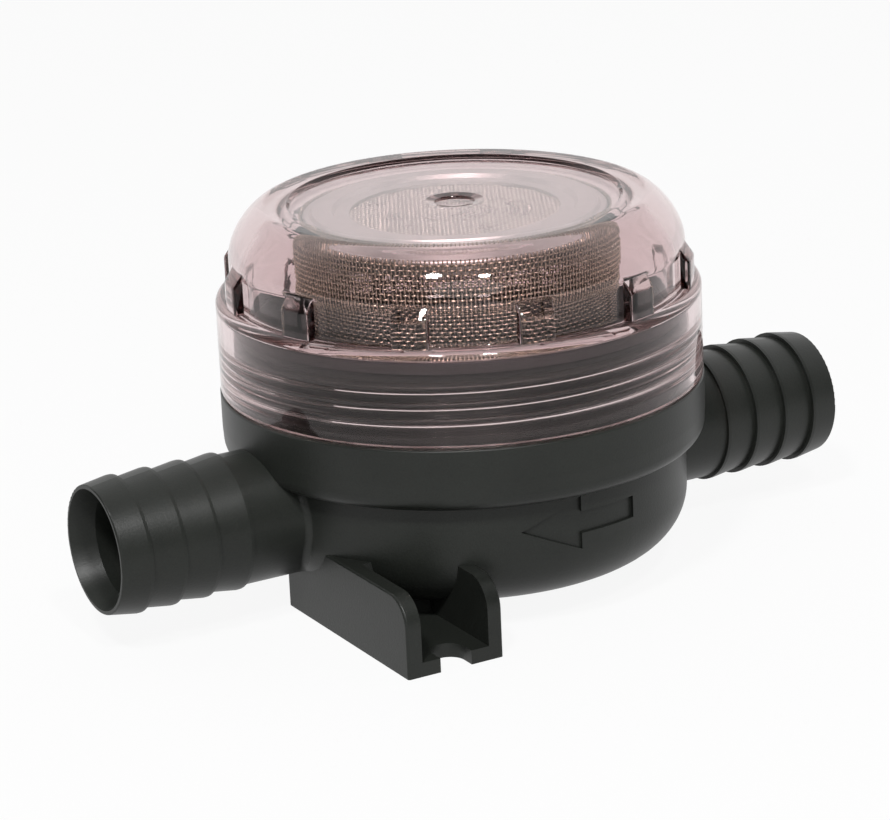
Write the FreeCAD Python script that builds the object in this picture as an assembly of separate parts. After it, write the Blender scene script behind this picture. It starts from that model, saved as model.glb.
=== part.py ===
import FreeCAD, Part

import math
import os

# Inline water filter: a moulded bowl with two hose barbs and two feet, a clear screw lid with grip lugs,
# its seal, and a woven steel screen that stands in the bowl's central well.
# Millimetres. +Z is up and the origin is on the mounting plane, under the middle of the bowl.
# The hoses lie along X: water comes in at +X, outside the screen, and leaves from inside it at -X.

Vector = FreeCAD.Vector
up = Vector(0, 0, 1)
origin = Vector(0, 0, 0)

# Bowl
bowl_radius = 34.5
bowl_wall = 2.5
bowl_bottom_height = 4.0
bowl_corner_radius = 9.0

# Flange that the lid closes down on
flange_overhang = 3.1
flange_bottom_height = 21.3
flange_curve_length = 4.5
flange_band_length = 5.4
flange_draft = 0.25
flange_edge_radius = 2.4

# Neck that the lid screws on
neck_wall = 2.1
neck_length = 11.0
neck_edge_radius = 0.5

# Hose barbs
port_height = 16.0
bore_radius = 8.0
barb_length = 29.3
barb_valley_radius = 9.9
barb_crest_radius = 10.6
barb_root_radius = 10.1
barb_count = 4
barb_pitch = 5.5
barb_inset = 4.85
barb_land = 0.5
mouth_cone_radius = 9.3
mouth_cone_depth = 3.8
mouth_edge_radius = 0.25
tube_fillet_radius = 1.0

# Well in the middle of the bowl, which the screen stands in
water_gap = 5.2
well_wall = 1.65
seat_ledge = 2.9
seat_above_port = 0.9
seat_depth = 2.0

# Feet
foot_middle = 24.0
foot_width = 16.0
foot_inset = 0.1
foot_height = 12.2
foot_wall = 2.4
foot_floor = 2.2
foot_corner_radius = 4.6
foot_edge_radius = 0.4
foot_channel_depth = 17.5
slot_width = 5.2
slot_depth = 4.9

# Flow arrow, sunk in the front of the bowl
arrow_middle_height = 16.7
arrow_head_length = 9.7
arrow_head_half_height = 4.2
arrow_shaft_length = 10.0
arrow_shaft_half_height = 1.7
arrow_depth = 0.5

# Lid
skirt_inset = 0.1
skirt_clearance = 1.3
lid_gap = 0.3
shoulder_thickness = 1.8
shoulder_radius = 1.25
shoulder_step = 2.4
dome_wall = 2.7
dome_height = 13.7
dome_corner_height = 7.8
dome_corner_width = 6.1
dome_corner_fullness = 0.46
ceiling_thickness = 2.7
rim_width = 3.2
rim_height = 0.7
rim_slope = 0.5
gate_radius = 4.4
gate_core_radius = 2.9
gate_slope_depth = 0.45
gate_core_depth = 0.45

# Grip lugs on the lid
lug_count = 12
lug_first_angle = -101.0
lug_width = 5.6
lug_face_inset = 1.0
lug_face_height = 4.2
lug_top_height = 6.6
lug_root = 0.5
lug_bite = 1.0
lug_edge_radius = 0.35

# Seal between the neck and the lid's shoulder
seal_inset = 0.5
seal_width = 2.3
seal_thickness = 2.1
seal_gap = 0.05

# Screen: a drum of wires, an end disc and two pressed rings
screen_lid_gap = 0.3
wire_thickness = 0.4
wire_width = 1.0
wire_crossing = 0.1
upright_count = 24
hoop_count = 6
end_hole_pitch = 2.6
end_hole_width = 1.6
ring_sheet = 0.5
ring_fit = 0.1
end_ring_width = 7.35
end_ring_skirt = 2.0
end_bead_inset = 1.15
end_bead_width = 4.0
end_bead_height = 0.6
base_ring_width = 2.3
base_ring_skirt = 3.0
seat_clearance = 0.25
part_gap = 0.05

# Radii and distances that follow from the sizes above
cavity_radius = bowl_radius - bowl_wall
flange_radius = bowl_radius + flange_overhang
neck_radius = cavity_radius + neck_wall
mouth_distance = bowl_radius + barb_length
foot_length = flange_radius - foot_inset
skirt_radius = flange_radius - skirt_inset
dome_radius = skirt_radius - shoulder_step
lug_face_radius = skirt_radius - lug_face_inset
rim_inner_radius = dome_radius - dome_corner_width - rim_width
well_radius = cavity_radius - water_gap
seat_radius = well_radius - well_wall
ring_outer_radius = seat_radius - seat_clearance
well_bore_radius = ring_outer_radius - seat_ledge
screen_radius = ring_outer_radius - ring_sheet - ring_fit
drum_inner_radius = screen_radius - 2 * wire_thickness + wire_crossing
end_ring_radius = drum_inner_radius - part_gap
end_ring_inner_radius = end_ring_radius - end_ring_width
base_ring_inner_radius = ring_outer_radius - base_ring_width

# Heights that follow
flange_band_height = flange_bottom_height + flange_curve_length
flange_top_height = flange_band_height + flange_band_length
cavity_floor = bowl_bottom_height + bowl_wall
neck_top = flange_top_height + neck_length
lid_bottom = flange_top_height + lid_gap
skirt_ceiling = neck_top + seal_gap + seal_thickness + seal_gap
ledge_height = skirt_ceiling + shoulder_thickness
lid_top = ledge_height + dome_height
lid_ceiling = lid_top - ceiling_thickness
seat_height = port_height + barb_root_radius + seat_above_port
screen_top = lid_ceiling - screen_lid_gap
drum_top = screen_top - end_bead_height
drum_bottom = seat_height + part_gap + ring_sheet + part_gap
end_disc_top = drum_top - ring_sheet - part_gap


# One corner of an outline: plain, rounded with a radius, or a conic with its two reaches and fullness.
def corner(before, here, after, shape):
    if not shape:
        return here, here, None
    to_before = (before - here).normalize()
    to_after = (after - here).normalize()
    if len(shape) == 3:
        start = here + to_before * shape[0]
        end = here + to_after * shape[1]
        curve = Part.BezierCurve()
        curve.setPoles([start, here, end])
        curve.setWeight(2, shape[2])
        return start, end, curve.toShape()
    half = to_before.getAngle(to_after) / 2
    reach = shape[0] / math.tan(half)
    inward = (to_before + to_after).normalize()
    middle = here + inward * (shape[0] / math.sin(half) - shape[0])
    start = here + to_before * reach
    end = here + to_after * reach
    return start, end, Part.Arc(start, middle, end).toShape()


# A closed face from its corners, each a point and what rounds it.
def outline(places, shapes):
    count = len(places)
    turns = []
    for i in range(count):
        turns.append(corner(places[i - 1], places[i], places[(i + 1) % count], shapes[i]))
    edges = []
    for i in range(count):
        start, end, curve = turns[i]
        if curve:
            edges.append(curve)
        following = turns[(i + 1) % count][0]
        if end.distanceToPoint(following) > 1e-6:
            edges.append(Part.makeLine(end, following))
    return Part.Face(Part.Wire(edges))


# A solid of revolution about Z, from corners given as radius, height and what rounds them.
def turned(corners):
    places = [Vector(c[0], 0, c[1]) for c in corners]
    shapes = [c[2:] for c in corners]
    return outline(places, shapes).revolve(origin, up, 360)


# The same about X, from corners given as distance along X, radius and what rounds them.
def turned_along_x(corners):
    places = [Vector(c[0], 0, c[1]) for c in corners]
    shapes = [c[2:] for c in corners]
    solid = outline(places, shapes).revolve(origin, Vector(1, 0, 0), 360)
    solid.translate(Vector(0, 0, port_height))
    return solid


def box(low_x, high_x, low_y, high_y, low_z, high_z):
    return Part.makeBox(high_x - low_x, high_y - low_y, high_z - low_z, Vector(low_x, low_y, low_z))


def rotated(solid, degrees):
    copy = solid.copy()
    copy.rotate(origin, up, degrees)
    return copy


# Outside of the bowl, flange and neck.
def bowl_outside():
    return turned([
        (0, bowl_bottom_height),
        (bowl_radius, bowl_bottom_height, bowl_corner_radius),
        (bowl_radius, flange_bottom_height),
        (flange_radius - flange_draft, flange_bottom_height, flange_edge_radius),
        (flange_radius, flange_band_height),
        (flange_radius, flange_top_height, lid_gap),
        (neck_radius, flange_top_height),
        (neck_radius, neck_top, neck_edge_radius),
        (0, neck_top),
    ])


def bowl_inside():
    return turned([
        (0, cavity_floor),
        (cavity_radius, cavity_floor, bowl_corner_radius - bowl_wall),
        (cavity_radius, neck_top + bowl_wall),
        (0, neck_top + bowl_wall),
    ])


# A hose barb towards +X: a run of sawtooth rings, each with a short land at its crest.
def hose_barb():
    corners = [(cavity_radius - bowl_corner_radius, 0), (mouth_distance, 0)]
    corners.append((mouth_distance, barb_valley_radius, mouth_edge_radius))
    for i in range(barb_count):
        crest = mouth_distance - barb_inset - i * barb_pitch
        foot_radius = barb_valley_radius if i < barb_count - 1 else barb_root_radius
        corners.append((crest + barb_land, barb_crest_radius))
        corners.append((crest, barb_crest_radius))
        corners.append((crest, foot_radius))
    corners.append((cavity_radius - bowl_corner_radius, barb_root_radius))
    return turned_along_x(corners)


# The concave edges where a hose tube leaves the bowl, under the flange.
def is_tube_root(edge):
    first, last = edge.ParameterRange
    places = [edge.valueAt(first), edge.valueAt((first + last) / 2), edge.valueAt(last)]
    on_tube = all(abs(math.hypot(p.y, p.z - port_height) - barb_root_radius) < 1e-4 for p in places)
    on_bowl = all(math.hypot(p.x, p.y) < bowl_radius + 1e-4 for p in places)
    return on_tube and on_bowl and places[1].z < flange_bottom_height - 1e-4


# The water way of a port, from its mouth's cone inwards to the given distance from the axis.
def port_bore(inner_end):
    return turned_along_x([
        (inner_end, 0),
        (mouth_distance + mouth_cone_depth, 0),
        (mouth_distance + mouth_cone_depth, mouth_cone_radius),
        (mouth_distance, mouth_cone_radius),
        (mouth_distance - mouth_cone_depth, bore_radius),
        (inner_end, bore_radius),
    ])


# The edges round a foot's two sides, apart from those on the ground and inside the bowl.
def is_foot_rim(edge, left, right):
    middle = edge.CenterOfMass
    on_side = min(abs(middle.x - left), abs(middle.x - right)) < 1e-6
    return on_side and middle.z > 1e-6 and middle.y < -1e-6


# The front left foot: a channel with a slot for a mounting screw, open to the front.
def foot():
    left = -foot_middle - foot_width / 2
    right = -foot_middle + foot_width / 2
    side = outline(
        [Vector(left, 0, 0), Vector(left, -foot_length, 0),
         Vector(left, -foot_length, foot_height), Vector(left, 0, foot_height)],
        [(), (), (foot_corner_radius,), ()])
    block = side.extrude(Vector(foot_width, 0, 0))
    rims = [e for e in block.Edges if is_foot_rim(e, left, right)]
    block = block.makeFillet(foot_edge_radius, rims)
    front = -foot_length - foot_wall
    channel = box(left + foot_wall, right - foot_wall, front, -foot_length + foot_channel_depth,
                  foot_floor, foot_height + foot_wall)
    slot_end = -foot_length + slot_depth - slot_width / 2
    slot = box(-foot_middle - slot_width / 2, -foot_middle + slot_width / 2, front, slot_end,
               -foot_floor, 2 * foot_floor)
    slot_round = Part.makeCylinder(slot_width / 2, 3 * foot_floor, Vector(-foot_middle, slot_end, -foot_floor))
    return block.cut([channel, slot.fuse(slot_round)])


# The wall round the well, and the duct that joins it to the outlet barb.
def well_outside():
    wall = Part.makeCylinder(well_radius, seat_height + seat_depth - bowl_bottom_height - bowl_wall / 2,
                             Vector(0, 0, bowl_bottom_height + bowl_wall / 2))
    duct = Part.makeCylinder(barb_root_radius, cavity_radius + bowl_wall / 2,
                             Vector(0, 0, port_height), Vector(-1, 0, 0))
    return wall.fuse(duct)


def well_inside():
    return turned([
        (0, cavity_floor),
        (well_bore_radius, cavity_floor),
        (well_bore_radius, seat_height),
        (seat_radius, seat_height),
        (seat_radius, neck_top),
        (0, neck_top),
    ])


# The sunk arrow that points the way of the flow, towards -X.
def flow_arrow():
    z = arrow_middle_height
    depth = bowl_radius + bowl_wall
    points = [
        Vector(-arrow_head_length, -depth, z),
        Vector(0, -depth, z + arrow_head_half_height),
        Vector(0, -depth, z + arrow_shaft_half_height),
        Vector(arrow_shaft_length, -depth, z + arrow_shaft_half_height),
        Vector(arrow_shaft_length, -depth, z - arrow_shaft_half_height),
        Vector(0, -depth, z - arrow_shaft_half_height),
        Vector(0, -depth, z - arrow_head_half_height),
    ]
    plug = outline(points, [()] * len(points)).extrude(Vector(0, depth, 0))
    core = Part.makeCylinder(bowl_radius - arrow_depth, flange_top_height)
    return plug.cut(core)


def housing():
    barb = hose_barb()
    first_foot = foot()
    body = bowl_outside().fuse([barb, rotated(barb, 180)])
    body = body.makeFillet(tube_fillet_radius, [e for e in body.Edges if is_tube_root(e)])
    body = body.fuse([first_foot, rotated(first_foot, 180)])
    body = body.cut(bowl_inside()).fuse(well_outside())
    inlet = port_bore(well_radius + (cavity_radius - well_radius) / 2)
    outlet = rotated(port_bore(well_bore_radius / 2), 180)
    return body.cut([well_inside(), inlet, outlet, flow_arrow()]).removeSplitter()


# One grip lug, on the dome at angle 0.
def grip_lug():
    inner = dome_radius - lug_bite
    left = -lug_width / 2
    bottom = ledge_height - lug_root
    points = [
        Vector(inner, left, bottom),
        Vector(lug_face_radius, left, bottom),
        Vector(lug_face_radius, left, ledge_height + lug_face_height),
        Vector(inner, left, ledge_height + lug_top_height + lug_bite),
    ]
    block = outline(points, [()] * len(points)).extrude(Vector(0, lug_width, 0))
    upright = [e for e in block.Edges if is_upright_at(e, lug_face_radius)]
    return block.makeFillet(lug_edge_radius, upright)


def is_upright_at(edge, distance):
    first, last = edge.Vertexes[0].Point, edge.Vertexes[-1].Point
    same_x = abs(first.x - distance) < 1e-6 and abs(last.x - distance) < 1e-6
    return same_x and abs(first.y - last.y) < 1e-6


def lid_outside():
    disc = lid_top - rim_height
    core = disc - gate_slope_depth
    return turned([
        (0, lid_bottom),
        (skirt_radius, lid_bottom, lid_gap),
        (skirt_radius, ledge_height, shoulder_radius),
        (dome_radius, ledge_height, lug_edge_radius),
        (dome_radius, lid_top, dome_corner_height, dome_corner_width, dome_corner_fullness),
        (rim_inner_radius, lid_top),
        (rim_inner_radius - rim_slope, disc),
        (gate_radius, disc),
        (gate_core_radius, core),
        (gate_core_radius, core - gate_core_depth),
        (0, core - gate_core_depth),
    ])


# The hollow of the lid: the skirt's thread bore, then the inside of the dome at an even thickness.
def lid_inside():
    inner = dome_radius - dome_wall
    corner_height = dome_corner_height - ceiling_thickness
    corner_width = dome_corner_width - dome_wall
    return turned([
        (0, lid_bottom - lid_gap),
        (neck_radius + skirt_clearance, lid_bottom - lid_gap),
        (neck_radius + skirt_clearance, skirt_ceiling, neck_edge_radius),
        (inner, skirt_ceiling),
        (inner, lid_ceiling, corner_height, corner_width, dome_corner_fullness),
        (0, lid_ceiling),
    ])


def lid():
    lug = grip_lug()
    lugs = [rotated(lug, lug_first_angle + i * 360 / lug_count) for i in range(lug_count)]
    return lid_outside().fuse(lugs).cut(lid_inside()).removeSplitter()


def lid_seal():
    inner = cavity_radius + seal_inset
    bottom = neck_top + seal_gap
    return turned([
        (inner, bottom),
        (inner + seal_width, bottom),
        (inner + seal_width, bottom + seal_thickness),
        (inner, bottom + seal_thickness),
    ])


# The drum: hoops inside, uprights outside, joined where they cross.
def screen_wall():
    hoop_outer = drum_inner_radius + wire_thickness
    step = (drum_top - drum_bottom - wire_width) / (hoop_count - 1)
    wires = []
    for i in range(hoop_count):
        low = drum_bottom + i * step
        wires.append(turned([
            (drum_inner_radius, low),
            (hoop_outer, low),
            (hoop_outer, low + wire_width),
            (drum_inner_radius, low + wire_width),
        ]))
    upright = box(screen_radius - wire_thickness, screen_radius, -wire_width / 2, wire_width / 2,
                  drum_bottom, drum_top)
    for i in range(upright_count):
        wires.append(rotated(upright, i * 360 / upright_count))
    return wires[0].fuse(wires[1:])


# The woven disc that closes the drum, with its open weave inside the end ring.
def screen_end():
    disc = Part.makeCylinder(end_ring_radius - ring_sheet - part_gap, wire_thickness,
                             Vector(0, 0, end_disc_top - wire_thickness))
    reach = int(end_ring_inner_radius / end_hole_pitch)
    half = end_hole_width / 2
    holes = []
    for i in range(-reach, reach + 1):
        for j in range(-reach, reach + 1):
            x, y = i * end_hole_pitch, j * end_hole_pitch
            if math.hypot(abs(x) + half, abs(y) + half) < end_ring_inner_radius:
                holes.append(box(x - half, x + half, y - half, y + half,
                                 end_disc_top - wire_width, end_disc_top))
    return disc.cut(holes)


# Pressed ring inside the drum's upper edge, with a raised bead and a skirt turned down along the wires.
def screen_end_ring():
    sheet = ring_sheet
    land, top = drum_top, screen_top
    inner, outer = end_ring_inner_radius, end_ring_radius
    bead_out = outer - end_bead_inset
    bead_in = bead_out - end_bead_width
    return turned([
        (inner, land - sheet),
        (bead_in + sheet / 2, land - sheet),
        (bead_in + sheet, top - sheet),
        (bead_out - sheet, top - sheet),
        (bead_out - sheet / 2, land - sheet),
        (outer - sheet, land - sheet),
        (outer - sheet, land - end_ring_skirt),
        (outer, land - end_ring_skirt),
        (outer, land, sheet),
        (bead_out, land),
        (bead_out - sheet, top),
        (bead_in + sheet, top),
        (bead_in, land),
        (inner, land),
    ])


# Pressed ring at the drum's open end, which stands in the well's seat.
def screen_base_ring():
    bottom = seat_height + part_gap
    outer = ring_outer_radius
    return turned([
        (base_ring_inner_radius, bottom),
        (outer, bottom, ring_sheet),
        (outer, bottom + base_ring_skirt),
        (outer - ring_sheet, bottom + base_ring_skirt),
        (outer - ring_sheet, bottom + ring_sheet),
        (base_ring_inner_radius, bottom + ring_sheet),
    ])


nodes = {
    "housing": housing,
    "lid": lid,
    "lid_seal": lid_seal,
    "screen_wall": screen_wall,
    "screen_end": screen_end,
    "screen_end_ring": screen_end_ring,
    "screen_base_ring": screen_base_ring,
}

os.makedirs("parts", exist_ok=True)
for name, make in nodes.items():
    shape = make()
    shape.exportStep("parts/" + name + ".step")
    print(name, "solids", len(shape.Solids), "valid", shape.isValid(), "volume", round(shape.Volume, 1))
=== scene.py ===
import math

import bpy
import numpy as np
from mathutils import Matrix, Vector


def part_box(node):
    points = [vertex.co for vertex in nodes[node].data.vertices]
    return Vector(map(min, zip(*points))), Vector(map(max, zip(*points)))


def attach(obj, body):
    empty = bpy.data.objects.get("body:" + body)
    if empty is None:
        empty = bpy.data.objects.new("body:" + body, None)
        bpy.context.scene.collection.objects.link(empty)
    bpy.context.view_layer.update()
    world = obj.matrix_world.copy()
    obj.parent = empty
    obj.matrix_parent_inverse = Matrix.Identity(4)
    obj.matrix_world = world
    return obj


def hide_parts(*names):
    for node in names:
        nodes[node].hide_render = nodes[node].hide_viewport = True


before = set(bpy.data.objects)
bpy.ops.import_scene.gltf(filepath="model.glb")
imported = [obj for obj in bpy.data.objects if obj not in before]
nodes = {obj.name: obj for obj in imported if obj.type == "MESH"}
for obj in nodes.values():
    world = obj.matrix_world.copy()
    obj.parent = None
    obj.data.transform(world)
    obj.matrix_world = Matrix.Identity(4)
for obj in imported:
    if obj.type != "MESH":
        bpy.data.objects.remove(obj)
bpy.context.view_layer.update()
mm = 0.001
print("frame loaded")


def boxInMm(name):
    low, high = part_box(name)
    return [v / mm for v in low], [v / mm for v in high]


def addMesh(name, points, faces, sharpAngle=40):
    # points are in millimetres, edges steeper than sharpAngle degrees stay crisp
    mesh = bpy.data.meshes.new(name)
    mesh.from_pydata((np.asarray(points, float) * mm).tolist(), [], faces)
    mesh.update()
    mesh.shade_smooth()
    mesh.set_sharp_from_angle(angle=math.radians(sharpAngle))
    piece = bpy.data.objects.new(name, mesh)
    bpy.context.scene.collection.objects.link(piece)
    return piece


def finishPiece(piece, material, body, slotName, *stoodFor):
    piece.data.materials.clear()
    piece.data.materials.append(material)
    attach(piece, body)
    if stoodFor:
        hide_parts(*stoodFor)


# shader groups, each made once and placed in the materials that need it

def newGroup(name, inputs, outputs):
    group = bpy.data.node_groups.new(name, "ShaderNodeTree")
    for label, kind, value in inputs:
        socket = group.interface.new_socket(name=label, in_out="INPUT", socket_type=kind)
        socket.default_value = value
    for label, kind in outputs:
        group.interface.new_socket(name=label, in_out="OUTPUT", socket_type=kind)
    return group, group.nodes.new("NodeGroupInput"), group.nodes.new("NodeGroupOutput")


def addNoise(tree, vector, scale, detail=3.0, roughness=0.55):
    noise = tree.nodes.new("ShaderNodeTexNoise")
    noise.inputs["Detail"].default_value = detail
    noise.inputs["Roughness"].default_value = roughness
    if isinstance(scale, (int, float)):
        noise.inputs["Scale"].default_value = scale
    else:
        tree.links.new(scale, noise.inputs["Scale"])
    tree.links.new(vector, noise.inputs["Vector"])
    return noise.outputs["Fac"]


def addMath(tree, operation, first, second=None, third=None):
    node = tree.nodes.new("ShaderNodeMath")
    node.operation = operation
    for place, value in enumerate((first, second, third)):
        if value is None:
            continue
        if isinstance(value, (int, float)):
            node.inputs[place].default_value = value
        else:
            tree.links.new(value, node.inputs[place])
    return node.outputs[0]


def addDistance(tree, parts):
    # how far a point lies from the Z axis
    squares = [addMath(tree, "POWER", parts.outputs[place], 2.0) for place in (0, 1)]
    return addMath(tree, "SQRT", addMath(tree, "ADD", *squares))


def makeMouldGrain():
    # fine pits of a moulded surface over slow waves, with a matching change of tone and gloss
    tree, inside, outside = newGroup("mouldGrain", [
        ("Pit Scale", "NodeSocketFloat", 3000.0),
        ("Wave Scale", "NodeSocketFloat", 90.0),
        ("Wave Share", "NodeSocketFloat", 0.3),
        ("Rough Low", "NodeSocketFloat", 0.4),
        ("Rough High", "NodeSocketFloat", 0.5),
    ], [("Tone", "NodeSocketFloat"), ("Rough", "NodeSocketFloat"), ("Height", "NodeSocketFloat")])
    where = tree.nodes.new("ShaderNodeTexCoord").outputs["Object"]
    pits = addNoise(tree, where, inside.outputs["Pit Scale"], 2.0, 0.6)
    waves = addNoise(tree, where, inside.outputs["Wave Scale"], 2.0, 0.4)
    patches = addNoise(tree, where, 45.0, 4.0, 0.6)
    waved = addMath(tree, "MULTIPLY", waves, inside.outputs["Wave Share"])
    height = addMath(tree, "ADD", pits, waved)
    roughSpan = addMath(tree, "SUBTRACT", inside.outputs["Rough High"], inside.outputs["Rough Low"])
    rough = addMath(tree, "MULTIPLY_ADD", patches, roughSpan, inside.outputs["Rough Low"])
    tone = addMath(tree, "MULTIPLY_ADD", pits, 0.35, addMath(tree, "MULTIPLY", patches, 0.65))
    tree.links.new(tone, outside.inputs["Tone"])
    tree.links.new(rough, outside.inputs["Rough"])
    tree.links.new(height, outside.inputs["Height"])
    return tree


def makeTurnedMarks():
    # fine rings about the Z axis, as a spun or pressed sheet has
    tree, inside, outside = newGroup("turnedMarks", [
        ("Ring Scale", "NodeSocketFloat", 2500.0),
        ("Rough Low", "NodeSocketFloat", 0.2),
        ("Rough High", "NodeSocketFloat", 0.35),
    ], [("Tone", "NodeSocketFloat"), ("Rough", "NodeSocketFloat"), ("Height", "NodeSocketFloat")])
    where = tree.nodes.new("ShaderNodeTexCoord").outputs["Object"]
    parts = tree.nodes.new("ShaderNodeSeparateXYZ")
    tree.links.new(where, parts.inputs[0])
    across = addDistance(tree, parts)
    ringPlace = tree.nodes.new("ShaderNodeCombineXYZ")
    tree.links.new(across, ringPlace.inputs[0])
    tree.links.new(parts.outputs[2], ringPlace.inputs[1])
    rings = addNoise(tree, ringPlace.outputs[0], inside.outputs["Ring Scale"], 3.0, 0.6)
    stains = addNoise(tree, where, 120.0, 4.0, 0.6)
    roughSpan = addMath(tree, "SUBTRACT", inside.outputs["Rough High"], inside.outputs["Rough Low"])
    mixed = addMath(tree, "MULTIPLY_ADD", rings, 0.5, addMath(tree, "MULTIPLY", stains, 0.5))
    rough = addMath(tree, "MULTIPLY_ADD", mixed, roughSpan, inside.outputs["Rough Low"])
    tree.links.new(mixed, outside.inputs["Tone"])
    tree.links.new(rough, outside.inputs["Rough"])
    tree.links.new(rings, outside.inputs["Height"])
    return tree


def makePaintedWeaveShade():
    # painted shade: 1 on the outer crowns of woven wires, less in the hollows between them, where shade would
    # fall
    tree, inside, outside = newGroup("paintedWeaveShade", [
        ("Round Z", "NodeSocketFloat", 1.0),
        ("Hollow At", "NodeSocketFloat", 0.0),
        ("Crown At", "NodeSocketFloat", 1.0),
        ("Painted Hollow Share", "NodeSocketFloat", 0.4),
    ], [("Share", "NodeSocketFloat")])
    where = tree.nodes.new("ShaderNodeTexCoord").outputs["Object"]
    parts = tree.nodes.new("ShaderNodeSeparateXYZ")
    tree.links.new(where, parts.inputs[0])
    across = addDistance(tree, parts)
    reach = addMath(tree, "MULTIPLY_ADD", addMath(tree, "SUBTRACT", across, parts.outputs[2]),
                    inside.outputs["Round Z"], parts.outputs[2])
    crown = tree.nodes.new("ShaderNodeMapRange")
    crown.interpolation_type = "SMOOTHSTEP"
    tree.links.new(reach, crown.inputs["Value"])
    tree.links.new(inside.outputs["Hollow At"], crown.inputs["From Min"])
    tree.links.new(inside.outputs["Crown At"], crown.inputs["From Max"])
    tree.links.new(inside.outputs["Painted Hollow Share"], crown.inputs["To Min"])
    crown.inputs["To Max"].default_value = 1.0
    tree.links.new(crown.outputs[0], outside.inputs["Share"])
    return tree


mouldGrain = makeMouldGrain()
turnedMarks = makeTurnedMarks()
paintedWeaveShade = makePaintedWeaveShade()


def newMaterial(name):
    material = bpy.data.materials.new(name)
    material.use_nodes = True
    tree = material.node_tree
    shader = tree.nodes["Principled BSDF"]
    return material, tree, shader, tree.nodes["Material Output"]


def placeGroup(tree, group, values):
    node = tree.nodes.new("ShaderNodeGroup")
    node.node_tree = group
    for label, value in values.items():
        node.inputs[label].default_value = value
    return node


def toneRamp(tree, effect, dark, light):
    ramp = tree.nodes.new("ShaderNodeValToRGB")
    ramp.color_ramp.elements[0].position = 0.3
    ramp.color_ramp.elements[1].position = 0.7
    ramp.color_ramp.elements[0].color = (*dark, 1)
    ramp.color_ramp.elements[1].color = (*light, 1)
    tree.links.new(effect.outputs["Tone"], ramp.inputs[0])
    return ramp.outputs[0]


def toneColours(tree, shader, effect, dark, light):
    tree.links.new(toneRamp(tree, effect, dark, light), shader.inputs["Base Color"])


def bumpFrom(tree, shader, effect, depth):
    bump = tree.nodes.new("ShaderNodeBump")
    bump.inputs["Strength"].default_value = 1.0
    bump.inputs["Distance"].default_value = depth * mm
    tree.links.new(effect.outputs["Height"], bump.inputs["Height"])
    tree.links.new(bump.outputs[0], shader.inputs["Normal"])


housingLook = {
    "dark": (0.0085, 0.0095, 0.0082),
    "light": (0.0168, 0.0187, 0.016),
    "ior": 1.46,
    "shine": 0.32,
    "grain": {"Pit Scale": 3200.0, "Wave Scale": 70.0, "Wave Share": 0.5,
              "Rough Low": 0.32, "Rough High": 0.46},
    "grainDepth": 0.02,
}


def makeHousingPlastic():
    material, tree, shader, _ = newMaterial("housingPlastic")
    grain = placeGroup(tree, mouldGrain, housingLook["grain"])
    toneColours(tree, shader, grain, housingLook["dark"], housingLook["light"])
    tree.links.new(grain.outputs["Rough"], shader.inputs["Roughness"])
    bumpFrom(tree, shader, grain, housingLook["grainDepth"])
    shader.inputs["IOR"].default_value = housingLook["ior"]
    shader.inputs["Specular IOR Level"].default_value = housingLook["shine"]
    return material


clearLook = {
    "dark": (0.83, 0.735, 0.745),
    "light": (0.865, 0.77, 0.775),
    "ior": 1.57,
    "mirror": (0.45, 0.45, 0.45),
    "depthTint": (0.44, 0.17, 0.14),
    "depthTintPerMetre": 36.0,
    "grain": {"Pit Scale": 900.0, "Wave Scale": 110.0, "Wave Share": 3.0,
              "Rough Low": 0.0, "Rough High": 0.035},
    "grainDepth": 0.003,
}


def makeClearPlastic():
    # lamps reach what is behind the clear wall, so shadow rays pass it; thick stretches are darker
    material, tree, shader, output = newMaterial("clearPlastic")
    grain = placeGroup(tree, mouldGrain, clearLook["grain"])
    toneColours(tree, shader, grain, clearLook["dark"], clearLook["light"])
    tree.links.new(grain.outputs["Rough"], shader.inputs["Roughness"])
    bumpFrom(tree, shader, grain, clearLook["grainDepth"])
    shader.inputs["IOR"].default_value = clearLook["ior"]
    shader.inputs["Transmission Weight"].default_value = 1.0
    shader.inputs["Specular Tint"].default_value = (*clearLook["mirror"], 1)
    through = tree.nodes.new("ShaderNodeBsdfTransparent")
    through.inputs[0].default_value = (*clearLook["light"], 1)
    path = tree.nodes.new("ShaderNodeLightPath")
    mix = tree.nodes.new("ShaderNodeMixShader")
    tree.links.new(path.outputs["Is Shadow Ray"], mix.inputs[0])
    tree.links.new(shader.outputs[0], mix.inputs[1])
    tree.links.new(through.outputs[0], mix.inputs[2])
    tree.links.new(mix.outputs[0], output.inputs["Surface"])
    inside = tree.nodes.new("ShaderNodeVolumeAbsorption")
    inside.inputs["Color"].default_value = (*clearLook["depthTint"], 1)
    inside.inputs["Density"].default_value = clearLook["depthTintPerMetre"]
    tree.links.new(inside.outputs[0], output.inputs["Volume"])
    return material


sealLook = {
    "dark": (0.010, 0.010, 0.010),
    "light": (0.020, 0.020, 0.020),
    "grain": {"Pit Scale": 2200.0, "Wave Scale": 150.0, "Wave Share": 0.6,
              "Rough Low": 0.5, "Rough High": 0.68},
    "grainDepth": 0.03,
}


def makeSealRubber():
    material, tree, shader, _ = newMaterial("sealRubber")
    grain = placeGroup(tree, mouldGrain, sealLook["grain"])
    toneColours(tree, shader, grain, sealLook["dark"], sealLook["light"])
    tree.links.new(grain.outputs["Rough"], shader.inputs["Roughness"])
    bumpFrom(tree, shader, grain, sealLook["grainDepth"])
    return material


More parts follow.
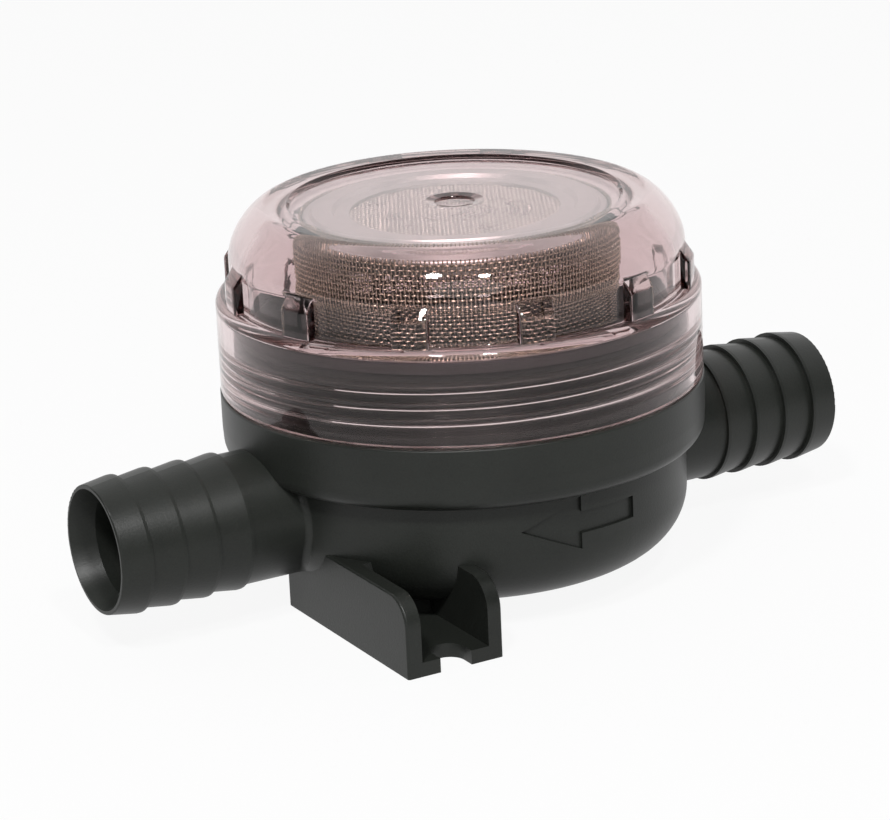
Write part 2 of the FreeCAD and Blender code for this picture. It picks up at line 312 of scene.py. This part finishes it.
cloth = {
    "pitch": 0.635,            # 40 wires to the inch
    "wire": 0.25,
    "sides": 4,
    "warpCrimp": 0.07,         # how far the straighter wires wave to either side
    "weftCrimp": 0.18,
    # the wires' colour darkens towards the cloth's hollows as painted shade, darkest this far from its middle
    "paintedShadeFrom": -0.02,        # from the cloth's middle to where its hollows are darkest
    "discReach": 18.2,
    "discTurn": -28.0,         # degrees from +X to the disc's wires
}
# one steel in two copies: the drum's wires lighter as painted highlight, the disc's darker and greyer as
# painted shade
drumWireLitLook = {
    "dark": (0.66, 0.61, 0.48),
    "light": (1.0, 0.95, 0.80),
    "marks": {"Ring Scale": 1800.0, "Rough Low": 0.2, "Rough High": 0.32},
    "paintedHollowShare": 0.34,
}
discWireShadedLook = {
    "dark": (0.50, 0.50, 0.455),
    "light": (0.80, 0.80, 0.745),
    "marks": {"Ring Scale": 1800.0, "Rough Low": 0.22, "Rough High": 0.34},
    "paintedHollowShare": 0.3,
}
sheetLook = {
    "dark": (0.54, 0.555, 0.545),
    "light": (0.71, 0.735, 0.725),
    "marks": {"Ring Scale": 5200.0, "Rough Low": 0.24, "Rough High": 0.42},
    "markDepth": 0.006,
}


def makeWireSteel(name, look, roundZ, middle):
    # middle is the radius or height, in millimetres, about which the wires wave
    material, tree, shader, _ = newMaterial(name)
    marks = placeGroup(tree, turnedMarks, look["marks"])
    tone = toneRamp(tree, marks, look["dark"], look["light"])
    # the wires' tone is scaled down from the crowns into the hollows: painted shade between the wires
    paintedShade = placeGroup(tree, paintedWeaveShade, {
        "Round Z": float(roundZ),
        "Hollow At": (middle + cloth["paintedShadeFrom"]) * mm,
        "Crown At": (middle + cloth["weftCrimp"] + cloth["wire"] / 2) * mm,
        "Painted Hollow Share": look["paintedHollowShare"],
    })
    paintedShadeTone = tree.nodes.new("ShaderNodeVectorMath")
    paintedShadeTone.operation = "SCALE"
    tree.links.new(tone, paintedShadeTone.inputs[0])
    tree.links.new(paintedShade.outputs["Share"], paintedShadeTone.inputs["Scale"])
    tree.links.new(paintedShadeTone.outputs["Vector"], shader.inputs["Base Color"])
    tree.links.new(marks.outputs["Rough"], shader.inputs["Roughness"])
    shader.inputs["Metallic"].default_value = 1.0
    return material


def makeSheetSteel():
    material, tree, shader, _ = newMaterial("sheetSteel")
    marks = placeGroup(tree, turnedMarks, sheetLook["marks"])
    toneColours(tree, shader, marks, sheetLook["dark"], sheetLook["light"])
    tree.links.new(marks.outputs["Rough"], shader.inputs["Roughness"])
    bumpFrom(tree, shader, marks, sheetLook["markDepth"])
    shader.inputs["Metallic"].default_value = 1.0
    return material


housingPlastic = makeHousingPlastic()
clearPlastic = makeClearPlastic()
sealRubber = makeSealRubber()
drumMiddle = boxInMm("screen_wall")[1][0] - cloth["wire"]
discMiddle = sum(corner[2] for corner in boxInMm("screen_end")) / 2
# lit and shaded copies of one wire steel, for the drum and the disc
drumWireSteelLit = makeWireSteel("drumWireSteelLit", drumWireLitLook, True, drumMiddle)
discWireSteelShaded = makeWireSteel("discWireSteelShaded", discWireShadedLook, False, discMiddle)
sheetSteel = makeSheetSteel()
print("materials made")


# profiles are lists of (radius, height) points in millimetres

def conicCorner(start, corner, end, fullness, count):
    # the moulded corner as a weighted curve, from start to end
    t = np.linspace(0, 1, count)[:, None]
    weights = (1 - t) ** 2, 2 * fullness * t * (1 - t), t ** 2
    total = sum(w * np.array(p) for w, p in zip(weights, (start, corner, end)))
    return total / sum(weights)


def roundedPath(corners, steps=6):
    # corners are (radius, height, corner radius); the ends stay sharp
    path = [np.array(corners[0][:2], float)]
    for before, here, after in zip(corners, corners[1:], corners[2:]):
        size = here[2]
        point = np.array(here[:2], float)
        if not size:
            path.append(point)
            continue
        toBefore = np.array(before[:2]) - point
        toAfter = np.array(after[:2]) - point
        toBefore = toBefore / np.linalg.norm(toBefore)
        toAfter = toAfter / np.linalg.norm(toAfter)
        half = math.acos(float(np.clip(toBefore @ toAfter, -1, 1))) / 2
        reach = size / math.tan(half)
        path.extend(conicCorner(
            point + toBefore * reach, point, point + toAfter * reach, math.sin(half), steps))
    path.append(np.array(corners[-1][:2], float))
    return np.array(path)


def spread(path, step):
    # the same path with extra points, so that none are more than step apart
    points = [path[0]]
    for a, b in zip(path, path[1:]):
        count = max(1, int(math.ceil(np.linalg.norm(b - a) / step)))
        points.extend(a + (b - a) * k / count for k in range(1, count + 1))
    return np.array(points)


def spunMesh(name, angles, columns, sharpAngle=40):
    # columns[j] is the profile at angles[j]; the first and last points of each lie on the axis
    angles = np.asarray(angles)
    columns = np.asarray(columns)
    inner = columns[:, 1:-1]
    count, length = inner.shape[:2]
    x = inner[:, :, 0] * np.cos(angles)[:, None]
    y = inner[:, :, 0] * np.sin(angles)[:, None]
    grid = np.stack([x, y, inner[:, :, 1]], axis=2).reshape(-1, 3)
    ends = np.array([[0, 0, columns[0, 0, 1]], [0, 0, columns[0, -1, 1]]])
    points = np.vstack([grid, ends])
    first, last = len(grid), len(grid) + 1
    faces = []
    for j in range(count):
        here, beside = j * length, (j + 1) % count * length
        faces.append((first, here, beside))
        faces.append((last, beside + length - 1, here + length - 1))
        for k in range(length - 1):
            faces.append((here + k, here + k + 1, beside + k + 1, beside + k))
    return addMesh(name, points, faces, sharpAngle)


threads = {
    "pitch": 2.5,
    "frontAngle": -119.0,      # where the ridge heights below are given
    "neckRidge": 35.2,         # height of the neck's lowest ridge there
    "neckGap": 1.3,            # from the neck to the skirt's bore
    "neckStart": -180.0,       # degrees from the front angle
    "neckEnd": 870.0,
    "neckCrest": 1.05,         # how far the ridge stands out of the neck
    "neckBase": 1.3,
    "neckTip": 0.55,
    "lidStart": -150.0,
    "lidEnd": 840.0,
    "lidCrest": 0.505,
    "lidBase": 2.2,
    "lidTip": 0.2,
    "fade": 25.0,              # degrees over which a ridge runs out
    "heightStep": 0.11,        # between the points down the lid's bore
}


def ridgeFade(angle, start, end):
    inside = np.minimum(angle - start, end - angle) / threads["fade"]
    inside = np.clip(inside, 0, 1)
    return inside * inside * (3 - 2 * inside)


lidShape = {
    "lugs": 12,
    "firstLug": -101.0,
    "lugWidth": 5.6,
    "lugFace": 36.5,
    "lugFaceHeight": 4.2,
    "lugSlope": 2.4 / 3.4,     # how fast the chamfer above the face runs in
    "skirt": 37.5,
    "skirtBore": 35.4,
    "shoulder": 1.25,
    "dome": 35.1,
    "domeWall": 2.7,
    "corner": (6.1, 7.8),
    "fullness": 0.46,
    "ceiling": 2.7,
    "innerCorner": (6.6, 6.6),
    "ledgeFromTop": 13.7,
    "shoulderWall": 1.8,
    "rimInner": 25.8,
    "rimHeight": 0.7,
    "rimSlope": 0.5,
    "gate": 4.5,
    "gateCore": 3.1,
    "gateDepth": 0.2,
    "gateCoreDepth": 0.3,
    "softEdge": 0.2,
    "lugsFromTop": 5.4,        # where the lugs' columns start
    "lugRoot": 0.35,
    "lugEdge": 0.25,
}


def lidProfile():
    low, high = boxInMm("lid")
    s = lidShape
    bottom, top = low[2], high[2]
    ledge = top - s["ledgeFromTop"]
    ceiling = top - s["ceiling"]
    skirtCeiling = ledge - s["shoulderWall"]
    disc = top - s["rimHeight"]
    inner = s["dome"] - s["domeWall"]
    soft = s["softEdge"]
    cornerStart = top - s["corner"][1]
    cornerEnd = s["dome"] - s["corner"][0]

    flat = spread(roundedPath([
        (0, disc - s["gateDepth"] - s["gateCoreDepth"]),
        (s["gateCore"] - 0.1, disc - s["gateDepth"] - s["gateCoreDepth"], 0.12),
        (s["gateCore"], disc - s["gateDepth"], 0.12),
        (s["gate"], disc, 0.3),
        (s["rimInner"] - s["rimSlope"], disc, soft),
        (s["rimInner"], top, soft),
        (cornerEnd, top),
    ]), 1.5)
    outerCurve = conicCorner((s["dome"], cornerStart), (s["dome"], top), (cornerEnd, top), s["fullness"], 60)
    domeAt = lambda z: np.interp(z, outerCurve[:, 1], outerCurve[:, 0], left=s["dome"])
    blendTop = top - s["lugsFromTop"]
    upper = outerCurve[::-1][1::2]
    upper = upper[upper[:, 1] > blendTop + 0.1]
    flat = np.vstack([flat, upper])

    heights = np.concatenate([
        np.linspace(blendTop, ledge + s["lugFaceHeight"] + 0.5, 18),
        np.linspace(ledge + s["lugFaceHeight"] + 0.3, ledge + s["lugFaceHeight"] - 0.3, 7),
        np.linspace(ledge + s["lugFaceHeight"] - 0.7, ledge + 0.6, 5),
        ledge + s["lugRoot"] * (1 - np.sin(np.linspace(0, math.pi / 2, 5))),
    ])
    intoRoot = np.clip(s["lugRoot"] - (heights - ledge), 0, s["lugRoot"])
    root = s["lugRoot"] - np.sqrt(np.clip(s["lugRoot"] ** 2 - intoRoot ** 2, 0, None))
    plain = domeAt(heights) + root
    face = np.full_like(heights, s["lugFace"])
    sloped = s["lugFace"] - (heights - ledge - s["lugFaceHeight"]) * s["lugSlope"]
    gap = np.clip(s["lugEdge"] - np.abs(face - sloped), 0, None) / s["lugEdge"]
    lug = np.minimum(face, sloped) - gap * gap * s["lugEdge"] / 4
    lug = np.maximum(lug, plain)
    lug = np.where(heights < ledge + 0.01, s["lugFace"] + 0.02, lug)

    skirtTop = (s["skirt"] - s["shoulder"], ledge)
    below = np.vstack([
        conicCorner(skirtTop, (s["skirt"], ledge), (s["skirt"], ledge - s["shoulder"]), math.sqrt(0.5), 9),
        spread(roundedPath([
            (s["skirt"], ledge - s["shoulder"] - 0.4),
            (s["skirt"], bottom, 0.3),
            (s["skirtBore"], bottom, 0.3),
            (s["skirtBore"], bottom + 0.6),
        ]), 1.5),
    ])
    threadHeights = np.arange(bottom + 0.7, skirtCeiling - 0.55, threads["heightStep"])
    bore = np.stack([np.full_like(threadHeights, s["skirtBore"]), threadHeights], axis=1)
    above = np.vstack([
        spread(roundedPath([
            (s["skirtBore"], skirtCeiling - 0.5),
            (s["skirtBore"], skirtCeiling, 0.4),
            (inner, skirtCeiling, 0.2),
            (inner, ceiling - s["innerCorner"][1]),
        ]), 1.2),
        conicCorner((inner, ceiling - s["innerCorner"][1]), (inner, ceiling),
                    (inner - s["innerCorner"][0], ceiling), s["fullness"], 26)[1:],
        spread(np.array([(inner - s["innerCorner"][0], ceiling), (0, ceiling)]), 4.0)[1:],
    ])
    return flat, heights, plain, lug, skirtTop, below, bore, above


def lidColumns():
    # each column is its angle and how far it belongs to a lug
    half = lidShape["lugWidth"] / 2
    across = [(-half - 0.1, 0), (-half, 0.72), (-half + 0.12, 0.94), (-half + 0.32, 1)]
    across += [(t * half / 2, 1) for t in (-1, 0, 1)]
    across += [(-offset, share) for offset, share in reversed(across[:4])]
    step = 360 / lidShape["lugs"]
    edge = math.degrees(across[-1][0] / lidShape["lugFace"])
    between = np.linspace(edge, step - edge, 15)[1:-1]
    columns = []
    for i in range(lidShape["lugs"]):
        middle = lidShape["firstLug"] + i * step
        columns += [(middle + math.degrees(offset / lidShape["lugFace"]), share) for offset, share in across]
        columns += [(middle + angle, 0) for angle in between]
    return columns


def boreWithThread(bore, angle):
    # the lid's ridge lies half a pitch under the neck's, so the two engage at every turn
    t = threads
    radius = bore[:, 0].copy()
    first = t["neckRidge"] - t["pitch"] / 2
    fromFront = angle - t["frontAngle"]
    for turn in range(-2, 5):
        run = fromFront + 360 * turn
        if not t["lidStart"] < run < t["lidEnd"]:
            continue
        middle = first + t["pitch"] * run / 360
        away = np.abs(bore[:, 1] - middle)
        rise = np.clip((t["lidBase"] / 2 - away) / ((t["lidBase"] - t["lidTip"]) / 2), 0, 1)
        rise = rise * rise * (3 - 2 * rise)
        radius -= rise * t["lidCrest"] * ridgeFade(run, t["lidStart"], t["lidEnd"])
    return np.stack([radius, bore[:, 1]], axis=1)


def makeLid():
    flat, heights, plain, lug, skirtTop, below, bore, above = lidProfile()
    columns, angles = [], []
    for angle, share in lidColumns():
        side = plain + (lug - plain) * share
        wall = np.stack([side, heights], axis=1)
        ledge = np.linspace(side[-1], skirtTop[0], 6)[1:-1]
        ledgePath = np.stack([ledge, np.full_like(ledge, skirtTop[1])], axis=1)
        columns.append(np.vstack([flat, wall, ledgePath, below, boreWithThread(bore, angle), above]))
        angles.append(math.radians(angle))
    return spunMesh("lidShell", angles, columns, 50)


def sweptRidge(name, angles, heights, sections):
    # a ridge about the Z axis; sections[j] is its closed outline as (radius, height offset)
    count, length = len(angles), len(sections[0])
    points, faces = [], []
    for angle, height, section in zip(angles, heights, sections):
        for radius, offset in section:
            points.append((radius * math.cos(angle), radius * math.sin(angle), height + offset))
    for j in range(count - 1):
        for k in range(length):
            beside = (k + 1) % length
            faces.append((j * length + k, j * length + beside,
                          (j + 1) * length + beside, (j + 1) * length + k))
    faces.append(tuple(range(length))[::-1])
    faces.append(tuple((count - 1) * length + k for k in range(length)))
    return addMesh(name, points, faces, 60)


def makeNeckThread():
    t = threads
    neck = lidShape["skirtBore"] - t["neckGap"]
    runs = np.arange(t["neckStart"], t["neckEnd"] + 1.5, 3.0)
    angles = np.radians(runs + t["frontAngle"])
    heights = t["neckRidge"] + t["pitch"] * runs / 360
    base, tip = t["neckBase"] / 2, t["neckTip"] / 2
    sections = []
    for run in runs:
        rise = 0.02 + t["neckCrest"] * ridgeFade(run, t["neckStart"], t["neckEnd"])
        crest = neck + rise
        sections.append([
            (neck - 0.3, base), (neck - 0.02, base), (crest - rise * 0.2, tip * 1.25), (crest, tip * 0.7),
            (crest, -tip * 0.7), (crest - rise * 0.2, -tip * 1.25), (neck - 0.02, -base), (neck - 0.3, -base),
        ])
    return sweptRidge("neckThread", angles, heights, sections)


def tubeFaces(firstPoint, stations, sides, closed):
    faces = []
    for j in range(stations if closed else stations - 1):
        here, beside = firstPoint + j * sides, firstPoint + (j + 1) % stations * sides
        for k in range(sides):
            around = (k + 1) % sides
            faces.append((here + k, beside + k, beside + around, here + around))
    if not closed:
        last = firstPoint + (stations - 1) * sides
        faces.append(tuple(firstPoint + k for k in range(sides)))
        faces.append(tuple(last + k for k in reversed(range(sides))))
    return faces


def wireMesh(name, paths, normals, sideways, closed):
    # paths[i] is one wire's line; normals and sideways give its section's two axes at each point
    sides = cloth["sides"]
    turns = [2 * math.pi * (k + 0.5) / sides for k in range(sides)]
    radius = cloth["wire"] / 2 / math.cos(math.pi / sides) * 0.93
    points, faces, total = [], [], 0
    for path, normal, side in zip(paths, normals, sideways):
        ring = [path + normal * (math.cos(a) * radius) + side * (math.sin(a) * radius) for a in turns]
        points.append(np.stack(ring, axis=1).reshape(-1, 3))
        faces += tubeFaces(total, len(path), sides, closed)
        total += len(path) * sides
    return addMesh(name, np.vstack(points), faces, 100)


def drumSize():
    low, high = boxInMm("screen_wall")
    radius = high[0] - cloth["wire"]
    count = int(round(2 * math.pi * radius / cloth["pitch"] / 2)) * 2
    rows = int((high[2] - low[2]) / cloth["pitch"])
    heights = low[2] + (high[2] - low[2] - rows * cloth["pitch"]) / 2 + np.arange(rows + 1) * cloth["pitch"]
    return radius, count, heights, low[2], high[2]


def makeDrumUprights():
    radius, count, rows, low, high = drumSize()
    steps = np.linspace(low + cloth["wire"] / 2, high, 2 * len(rows) - 1)
    phase = (steps - rows[0]) / cloth["pitch"] * math.pi
    paths, normals, sideways = [], [], []
    for i in range(count):
        angle = 2 * math.pi * i / count
        out = np.array([math.cos(angle), math.sin(angle), 0])
        side = np.array([-math.sin(angle), math.cos(angle), 0])
        reach = radius + cloth["warpCrimp"] * np.cos(phase + math.pi * i)
        path = out * reach[:, None]
        path[:, 2] = steps
        paths.append(path)
        normals.append(np.tile(out, (len(steps), 1)))
        sideways.append(np.tile(side, (len(steps), 1)))
    return wireMesh("drumUprights", paths, normals, sideways, False)


def makeDrumHoops():
    radius, count, rows, low, high = drumSize()
    angles = np.arange(2 * count) * math.pi / count
    out = np.stack([np.cos(angles), np.sin(angles), np.zeros_like(angles)], axis=1)
    up = np.tile(np.array([0.0, 0, 1]), (len(angles), 1))
    paths = []
    for j, height in enumerate(rows[:-1]):
        reach = radius - cloth["weftCrimp"] * np.cos(angles * count / 2 + math.pi * j)
        path = out * reach[:, None]
        path[:, 2] = height
        paths.append(path)
    return wireMesh("drumHoops", paths, [out] * len(paths), [up] * len(paths), True)


def makeDiscWires(name, alongX):
    low, high = boxInMm("screen_end")
    middle = (low[2] + high[2]) / 2
    reach = int(cloth["discReach"] / cloth["pitch"])
    turn = math.radians(cloth["discTurn"] + (0 if alongX else 90))
    along = np.array([math.cos(turn), math.sin(turn), 0])
    beside = np.array([-math.sin(turn), math.cos(turn), 0])
    paths, normals, sideways = [], [], []
    for i in range(-reach, reach + 1):
        offset = i * cloth["pitch"]
        length = math.sqrt(max(0, cloth["discReach"] ** 2 - offset ** 2))
        crossings = int(length / cloth["pitch"])
        if crossings < 2:
            continue
        steps = np.arange(-2 * crossings, 2 * crossings + 1) * cloth["pitch"] / 2
        phase = math.pi * (i if alongX else i + 1)
        crimp = cloth["weftCrimp" if alongX else "warpCrimp"]
        path = along * steps[:, None] + beside * offset
        path[:, 2] = middle + crimp * np.cos(steps / cloth["pitch"] * math.pi + phase)
        paths.append(path)
        normals.append(np.tile(np.array([0.0, 0, 1]), (len(steps), 1)))
        sideways.append(np.tile(beside, (len(steps), 1)))
    return wireMesh(name, paths, normals, sideways, False)


finishPiece(makeLid(), clearPlastic, "lid", "clear_plastic", "lid")
print("lid made")
finishPiece(makeNeckThread(), housingPlastic, "housing", "housing_plastic")
print("neck thread made")
finishPiece(makeDrumUprights(), drumWireSteelLit, "housing", "screen_steel", "screen_wall")
finishPiece(makeDrumHoops(), drumWireSteelLit, "housing", "screen_steel", "screen_wall")
finishPiece(makeDiscWires("discWiresX", True), discWireSteelShaded, "housing", "screen_steel", "screen_end")
finishPiece(makeDiscWires("discWiresY", False), discWireSteelShaded, "housing", "screen_steel", "screen_end")
print("wire cloth made")


def dressNode(name, material):
    node = nodes[name]
    node.data.materials.clear()
    node.data.materials.append(material)


dressNode("housing", housingPlastic)
dressNode("lid_seal", sealRubber)
dressNode("screen_end_ring", sheetSteel)
dressNode("screen_base_ring", sheetSteel)
print("frame parts dressed")


studio = {
    "floorSize": 6.0,
    "floorColour": (0.60, 0.60, 0.60),
    "floorRoughness": 0.9,
    "floorGlow": 0.91,         # share of plain white in what the camera sees of the floor
    "backdropTowards": (0.56, 0.83, 0.0),
    "backdropEdge": (-0.15, 0.45),
    "backdropLight": 0.9,
    "frontLight": 0.10,
    "topLight": 0.35,
    "topEdge": (0.45, 0.95),
    "lamps": [
        {"azimuth": -45, "elevation": 51, "distance": 1.2, "size": 0.16, "power": 8.6},
        {"azimuth": -13, "elevation": 48, "distance": 1.2, "size": 0.12, "power": 6.2},
        {"azimuth": -24, "elevation": 28, "distance": 1.2, "size": 0.7, "power": 2.5},
    ],
}


def makeFloor():
    half = studio["floorSize"] / 2 / mm
    corners = [(-half, -half, 0), (half, -half, 0), (half, half, 0), (-half, half, 0)]
    floor = addMesh("paleFloor", corners, [(0, 1, 2, 3)])
    material, tree, shader, output = newMaterial("palePaper")
    shader.inputs["Base Color"].default_value = (*studio["floorColour"], 1)
    shader.inputs["Roughness"].default_value = studio["floorRoughness"]
    glow = tree.nodes.new("ShaderNodeEmission")
    glow.inputs["Color"].default_value = (1, 1, 1, 1)
    path = tree.nodes.new("ShaderNodeLightPath")
    seen = addMath(tree, "MAXIMUM", path.outputs["Is Camera Ray"], path.outputs["Is Transmission Ray"])
    seen = addMath(tree, "MAXIMUM", seen, path.outputs["Is Glossy Ray"])
    share = addMath(tree, "MULTIPLY", seen, studio["floorGlow"])
    mix = tree.nodes.new("ShaderNodeMixShader")
    tree.links.new(share, mix.inputs[0])
    tree.links.new(shader.outputs[0], mix.inputs[1])
    tree.links.new(glow.outputs[0], mix.inputs[2])
    tree.links.new(mix.outputs[0], output.inputs["Surface"])
    floor.data.materials.append(material)


def makeSky():
    # a white backdrop stands behind the object, and the room in front of it is darker
    world = bpy.data.worlds.new("paleStudio")
    bpy.context.scene.world = world
    world.use_nodes = True
    tree = world.node_tree
    tree.nodes.clear()
    where = tree.nodes.new("ShaderNodeTexCoord").outputs["Generated"]
    side = tree.nodes.new("ShaderNodeVectorMath")
    side.operation = "DOT_PRODUCT"
    side.inputs[1].default_value = studio["backdropTowards"]
    tree.links.new(where, side.inputs[0])
    parts = tree.nodes.new("ShaderNodeSeparateXYZ")
    tree.links.new(where, parts.inputs[0])
    behind = tree.nodes.new("ShaderNodeMapRange")
    behind.interpolation_type = "SMOOTHSTEP"
    behind.inputs["From Min"].default_value = studio["backdropEdge"][0]
    behind.inputs["From Max"].default_value = studio["backdropEdge"][1]
    tree.links.new(side.outputs["Value"], behind.inputs["Value"])
    above = tree.nodes.new("ShaderNodeMapRange")
    above.interpolation_type = "SMOOTHSTEP"
    above.inputs["From Min"].default_value = studio["topEdge"][0]
    above.inputs["From Max"].default_value = studio["topEdge"][1]
    above.inputs["To Max"].default_value = studio["topLight"]
    tree.links.new(parts.outputs[2], above.inputs["Value"])
    around = addMath(tree, "MULTIPLY_ADD", behind.outputs[0],
                     studio["backdropLight"] - studio["frontLight"], studio["frontLight"])
    strength = addMath(tree, "MAXIMUM", around, above.outputs[0])
    light = tree.nodes.new("ShaderNodeBackground")
    tree.links.new(strength, light.inputs["Strength"])
    white = tree.nodes.new("ShaderNodeBackground")
    white.inputs["Color"].default_value = (1, 1, 1, 1)
    path = tree.nodes.new("ShaderNodeLightPath")
    mix = tree.nodes.new("ShaderNodeMixShader")
    output = tree.nodes.new("ShaderNodeOutputWorld")
    light.inputs["Color"].default_value = (1, 1, 1, 1)
    mirrored = addMath(tree, "MAXIMUM", path.outputs["Is Glossy Ray"], path.outputs["Is Transmission Ray"])
    mirrored = addMath(tree, "MULTIPLY", mirrored, behind.outputs[0])
    seen = addMath(tree, "MAXIMUM", path.outputs["Is Camera Ray"], mirrored)
    tree.links.new(seen, mix.inputs[0])
    tree.links.new(light.outputs[0], mix.inputs[1])
    tree.links.new(white.outputs[0], mix.inputs[2])
    tree.links.new(mix.outputs[0], output.inputs["Surface"])


def towards(azimuth, elevation):
    a, e = math.radians(azimuth), math.radians(elevation)
    return Vector((math.sin(a) * math.cos(e), -math.cos(a) * math.cos(e), math.sin(e)))


def makeLamps():
    aim = Vector((0, 0, 0.04))
    for number, lamp in enumerate(studio["lamps"]):
        data = bpy.data.lights.new(f"softLamp{number}", "AREA")
        data.shape = "DISK"
        data.size = lamp["size"]
        data.energy = lamp["power"]
        light = bpy.data.objects.new(data.name, data)
        back = towards(lamp["azimuth"], lamp["elevation"])
        light.location = aim + back * lamp["distance"]
        light.rotation_mode = "QUATERNION"
        light.rotation_quaternion = (-back).to_track_quat("-Z", "Y")
        bpy.context.scene.collection.objects.link(light)


cameraView = {
    "place": (-0.25723, -0.46105, 0.19612),
    "target": (-0.00867, -0.00973, 0.02953),
    "roll": -2.61,
    "lens": 143.87,
    "sensor": 36.0,
}


def makeCamera():
    place = Vector(cameraView["place"])
    back = (place - Vector(cameraView["target"])).normalized()
    level = Vector((0, 0, 1)).cross(back).normalized()
    upright = back.cross(level)
    roll = math.radians(cameraView["roll"])
    right = level * math.cos(roll) + upright * math.sin(roll)
    top = upright * math.cos(roll) - level * math.sin(roll)
    data = bpy.data.cameras.new("photoCamera")
    data.lens = cameraView["lens"]
    data.sensor_width = cameraView["sensor"]
    data.clip_start = 0.01
    data.clip_end = 20
    camera = bpy.data.objects.new("photoCamera", data)
    turn = Matrix((right, top, back)).transposed().to_4x4()
    camera.matrix_world = Matrix.Translation(place) @ turn
    bpy.context.scene.collection.objects.link(camera)
    bpy.context.scene.camera = camera


makeFloor()
makeSky()
makeLamps()
makeCamera()

# light has to pass many times between the faces of the clear lid
bpy.context.scene.cycles.max_bounces = 32
bpy.context.scene.cycles.glossy_bounces = 24
bpy.context.scene.cycles.transmission_bounces = 24
bpy.context.scene.view_settings.view_transform = "Standard"
print("studio made")
